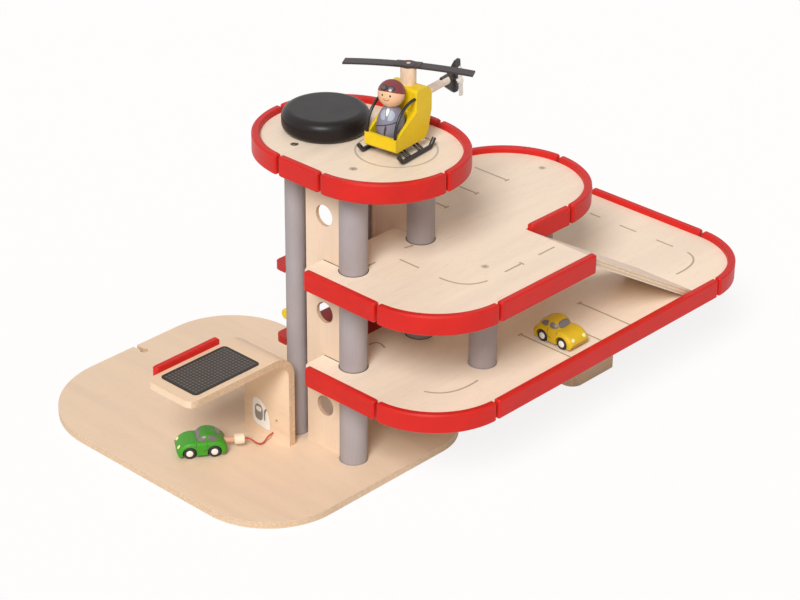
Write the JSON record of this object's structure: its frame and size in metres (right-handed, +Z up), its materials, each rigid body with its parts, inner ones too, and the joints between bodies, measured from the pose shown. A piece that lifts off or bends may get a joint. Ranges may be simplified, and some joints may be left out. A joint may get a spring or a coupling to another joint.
{
  "type": "toy parking garage",
  "caption": "Wooden toy parking garage on round pillars with guard rails, a ramp, a roof helipad and a lift that a big knob winds up and down.",
  "frame": {"origin": "on the underside of the base board, under the axis of the front left pillar", "axes": "+X along the long decks towards the ramp's foot, +Y from the front rails to the back, +Z up"},
  "size_m": [0.657, 0.5005, 0.4277],
  "materials": {
    "ply": "clear matt lacquer on birch plywood",
    "red_lacquer": "satin red lacquer on beech",
    "grey_lacquer": "satin grey lacquer on beech dowel",
    "steel": "zinc-plated steel",
    "yellow_lacquer": "satin yellow lacquer on beech",
    "green_lacquer": "satin green lacquer on beech",
    "black_lacquer": "satin black lacquer on beech",
    "black_plastic": "moulded, slightly grained",
    "black_rubber": "moulded",
    "beech": "clear matt lacquer on beech",
    "white_plastic": "moulded",
    "overall_paint": "matt grey paint on beech",
    "solar_film": "printed film",
    "natural_cord": "braided cotton",
    "red_cord": "braided polyester"
  },
  "bodies": {
    "garage": {"arch_rail": "red_lacquer", "base_board": "ply", "charge_cord": "red_cord", "charging_arch": "ply", "cord_guide": "ply", "deck_lower": "ply", "deck_roof": "ply", "deck_screws": "steel", "deck_upper": "ply", "lift_wall_left": "ply", "lift_wall_right": "ply", "long_posts": "grey_lacquer", "lower_rail_arcs": "red_lacquer", "lower_rail_front": "red_lacquer", "lower_rail_left": "red_lacquer", "lower_rail_rear": "red_lacquer", "lower_rail_right": "red_lacquer", "pillars_ground": "grey_lacquer", "pillars_lower": "grey_lacquer", "pillars_upper": "grey_lacquer", "plug_body": "beech", "plug_tip": "beech", "ramp_board": "ply", "roof_rail_arcs": "red_lacquer", "roof_rail_sides": "red_lacquer", "solar_panel": "solar_film", "support_leg": "ply", "upper_rail_arcs": "red_lacquer", "upper_rail_front": "red_lacquer", "upper_rail_left": "red_lacquer", "upper_rail_rear": "red_lacquer", "upper_rail_step": "red_lacquer"},
    "lift": {"lift_floor": "red_lacquer", "lift_roof": "red_lacquer", "lift_uprights": "red_lacquer", "lift_buffer_bar": "yellow_lacquer", "lift_cord": "natural_cord"},
    "winch": {"winch_knob": "black_lacquer", "winch_spool": "beech", "cord_winding": "natural_cord"},
    "green_car": {"green_car_body": "green_lacquer"},
    "green_front_wheels": {"green_front_axle": "steel", "green_front_tyres": "black_rubber"},
    "green_rear_wheels": {"green_rear_axle": "steel", "green_rear_tyres": "black_rubber"},
    "yellow_car": {"yellow_car_body": "yellow_lacquer"},
    "yellow_front_wheels": {"yellow_front_axle": "steel", "yellow_front_tyres": "black_rubber"},
    "yellow_rear_wheels": {"yellow_rear_axle": "steel", "yellow_rear_tyres": "black_rubber"},
    "helicopter": {"heli_body": "yellow_lacquer", "heli_mast": "beech", "tail_boom": "beech", "tail_fin": "black_plastic", "skid_frame": "black_plastic", "windscreen_hoops": "black_plastic"},
    "main_rotor": {"main_rotor": "black_plastic"},
    "tail_rotor": {"tail_rotor": "white_plastic"},
    "pilot": {"pilot_body": "overall_paint", "pilot_head": "beech"}
  },
  "joints": [
    {"name": "knob_turn", "type": "hinge", "parent": "garage", "child": "winch", "pos_m": [0.0495, 0.0875, 0.35], "axis": [0, 0, 1], "range_deg": [-388, 418]},
    {"name": "lift_slide", "type": "slide", "parent": "garage", "child": "lift", "axis": [0, 0, 1], "range_m": [-0.1018, 0.11], "deforming": ["lift_cord"]},
    {"name": "green_car_drive", "type": "slide", "parent": "garage", "child": "green_car", "axis": [-0.809, 0.5878, 0], "range_m": [0, 0.03]},
    {"name": "green_front_spin", "type": "hinge", "parent": "green_car", "child": "green_front_wheels", "pos_m": [-0.11232, 0.13094, 0.0149], "axis": [-0.5878, -0.809, 0], "continuous": true},
    {"name": "green_rear_spin", "type": "hinge", "parent": "green_car", "child": "green_rear_wheels", "pos_m": [-0.09128, 0.11566, 0.0149], "axis": [-0.5878, -0.809, 0], "continuous": true},
    {"name": "yellow_car_drive", "type": "slide", "parent": "garage", "child": "yellow_car", "axis": [0, -1, 0], "range_m": [-0.045, 0]},
    {"name": "yellow_front_spin", "type": "hinge", "parent": "yellow_car", "child": "yellow_front_wheels", "pos_m": [0.1876, -0.1294, 0.1249], "axis": [1, 0, 0], "continuous": true},
    {"name": "yellow_rear_spin", "type": "hinge", "parent": "yellow_car", "child": "yellow_rear_wheels", "pos_m": [0.1876, -0.1034, 0.1249], "axis": [1, 0, 0], "continuous": true},
    {"name": "helicopter_lift_off", "type": "slide", "parent": "garage", "child": "helicopter", "axis": [0, 0, 1], "range_m": [0, 0.08]},
    {"name": "main_rotor_spin", "type": "hinge", "parent": "helicopter", "child": "main_rotor", "pos_m": [0.07816, 0.00105, 0.4243], "axis": [0, 0, 1], "continuous": true},
    {"name": "tail_rotor_spin", "type": "hinge", "parent": "helicopter", "child": "tail_rotor", "pos_m": [0.15906, 0.01099, 0.3818], "axis": [0.1219, -0.9925, 0], "continuous": true},
    {"name": "pilot_lift_out", "type": "slide", "parent": "helicopter", "child": "pilot", "axis": [0, 0, 1], "range_m": [0, 0.003]}
  ],
  "couplings": [
    {"joint": "lift_slide", "follows": "knob_turn", "m_per_rad": 0.015}
  ]
}
